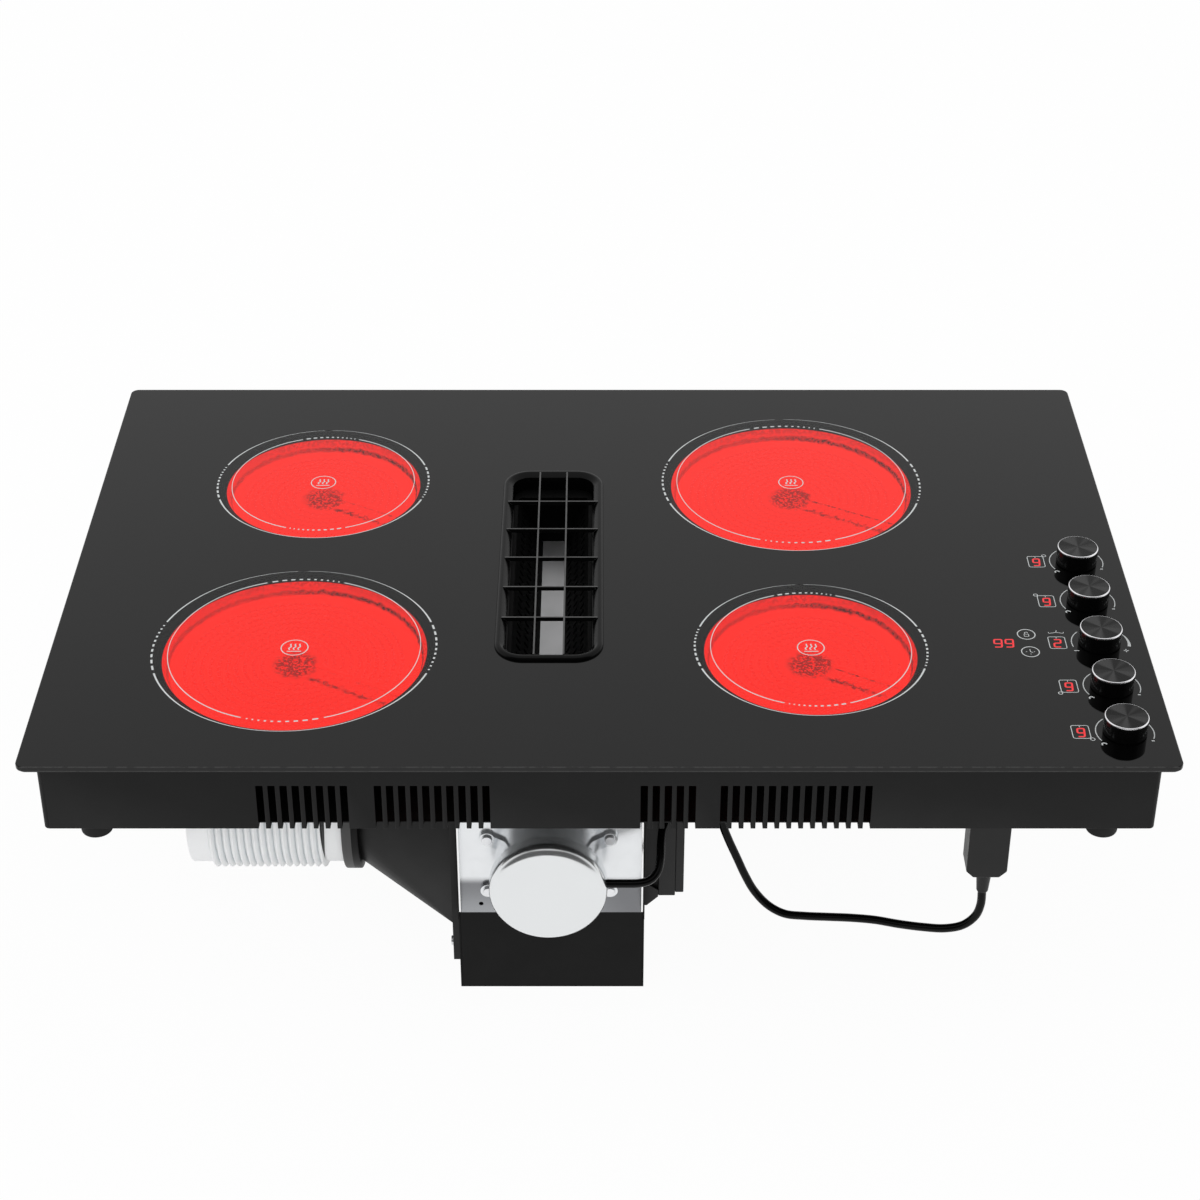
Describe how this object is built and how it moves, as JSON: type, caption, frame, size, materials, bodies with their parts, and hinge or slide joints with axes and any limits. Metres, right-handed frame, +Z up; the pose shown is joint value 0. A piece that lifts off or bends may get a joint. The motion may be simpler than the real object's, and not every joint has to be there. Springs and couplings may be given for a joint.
{
  "type": "downdraft electric cooktop",
  "caption": "Black glass radiant cooktop with a raised centre vent, side knobs, and a blower box with a ribbed outlet hose under its pan.",
  "frame": {"origin": "centre of the worktop plane, under the foam seal of the glass", "axes": "+X right, +Y back, +Z up"},
  "size_m": [0.77, 0.517, 0.2565],
  "materials": {
    "glass": "black ceramic glass, polished",
    "seal": "foam tape",
    "pan": "black powder coat, satin",
    "foot": "moulded rubber",
    "rim": "black satin lacquer",
    "grille": "dark grey enamel",
    "filter": "black perforated sheet",
    "filter_floor": "plain steel strip",
    "chute": "galvanised sheet",
    "duct": "black powder coat, satin",
    "galvanised": "galvanised sheet",
    "wheel": "moulded",
    "shaft": "ground steel",
    "motor": "die cast",
    "motor_cap": "pale grey lacquer, satin",
    "screw": "zinc plated",
    "lead": "round flexible lead",
    "outlet": "moulded, satin",
    "collar": "moulded, satin",
    "hose": "white ribbed hose",
    "control_box": "black powder coat, satin",
    "board": "green circuit board",
    "gland": "moulded",
    "plug": "moulded, fine grain",
    "terminal": "white ceramic",
    "tray": "moulded",
    "digit": "red digit display",
    "touch": "plated spring",
    "encoder": "pressed can",
    "knob": "black, polished side",
    "knob_cap": "spun black metal with a bright edge",
    "ribbon": "glowing ribbon",
    "insulation": "fibre, lit red by the heater",
    "dish": "pressed steel",
    "limiter": "ceramic block and rod"
  },
  "bodies": {
    "cooktop": {"glass_top": "glass", "worktop_seal": "seal", "base_pan": "pan", "pan_feet": "foot", "vent_rim": "rim", "vent_chute": "chute", "duct_box": "duct", "duct_back": "duct", "blower_plate": "galvanised", "inlet_partition": "galvanised", "motor_body": "motor", "motor_cap": "motor_cap", "motor_screws": "screw", "motor_lead": "lead", "outlet_duct": "outlet", "duct_collar": "collar", "duct_screws": "screw", "outlet_hose": "hose", "control_bracket": "control_box", "fan_control_box": "control_box", "fan_control_cover": "control_box", "fan_board": "board", "lead_gland": "gland", "fan_lead": "lead", "fan_plug": "plug", "fan_socket": "plug", "mains_gland": "gland", "terminal_block": "terminal", "power_board": "board", "control_tray": "tray", "display_board": "board", "digit_displays": "digit", "touch_springs": "touch", "knob_encoders": "encoder", "heater_ribbons": "ribbon", "insulation_cups": "insulation", "element_dishes": "dish", "element_springs": "dish", "heat_limiters": "limiter"},
    "dial_1": {"knob_1": "knob", "knob_cap_1": "knob_cap", "knob_shaft_1": "shaft"},
    "dial_2": {"knob_2": "knob", "knob_cap_2": "knob_cap", "knob_shaft_2": "shaft"},
    "dial_3": {"knob_3": "knob", "knob_cap_3": "knob_cap", "knob_shaft_3": "shaft"},
    "dial_4": {"knob_4": "knob", "knob_cap_4": "knob_cap", "knob_shaft_4": "shaft"},
    "dial_5": {"knob_5": "knob", "knob_cap_5": "knob_cap", "knob_shaft_5": "shaft"},
    "filter": {"filter_frame": "filter", "filter_panels": "filter", "filter_floor": "filter_floor"},
    "grille": {"vent_grille": "grille"},
    "fan": {"fan_wheel": "wheel", "motor_shaft": "shaft"}
  },
  "joints": [
    {"name": "knob_1_turn", "type": "hinge", "parent": "cooktop", "child": "dial_1", "pos_m": [0.352, -0.0069, 0.005], "axis": [0, 0, 1], "range_deg": [0, 270]},
    {"name": "knob_2_turn", "type": "hinge", "parent": "cooktop", "child": "dial_2", "pos_m": [0.352, -0.0601, 0.005], "axis": [0, 0, 1], "range_deg": [0, 270]},
    {"name": "knob_3_turn", "type": "hinge", "parent": "cooktop", "child": "dial_3", "pos_m": [0.352, -0.1133, 0.005], "axis": [0, 0, 1], "range_deg": [-210, 60]},
    {"name": "knob_4_turn", "type": "hinge", "parent": "cooktop", "child": "dial_4", "pos_m": [0.352, -0.1665, 0.005], "axis": [0, 0, 1], "range_deg": [0, 270]},
    {"name": "knob_5_turn", "type": "hinge", "parent": "cooktop", "child": "dial_5", "pos_m": [0.352, -0.2197, 0.005], "axis": [0, 0, 1], "range_deg": [0, 270]},
    {"name": "filter_lift", "type": "slide", "parent": "cooktop", "child": "filter", "axis": [0, 0, 1], "range_m": [0, 0.1]},
    {"name": "grille_lift", "type": "slide", "parent": "filter", "child": "grille", "axis": [0, 0, 1], "range_m": [0, 0.06]},
    {"name": "fan_spin", "type": "hinge", "parent": "cooktop", "child": "fan", "pos_m": [-0.0355, -0.194, -0.122], "axis": [0, 1, 0], "continuous": true}
  ]
}
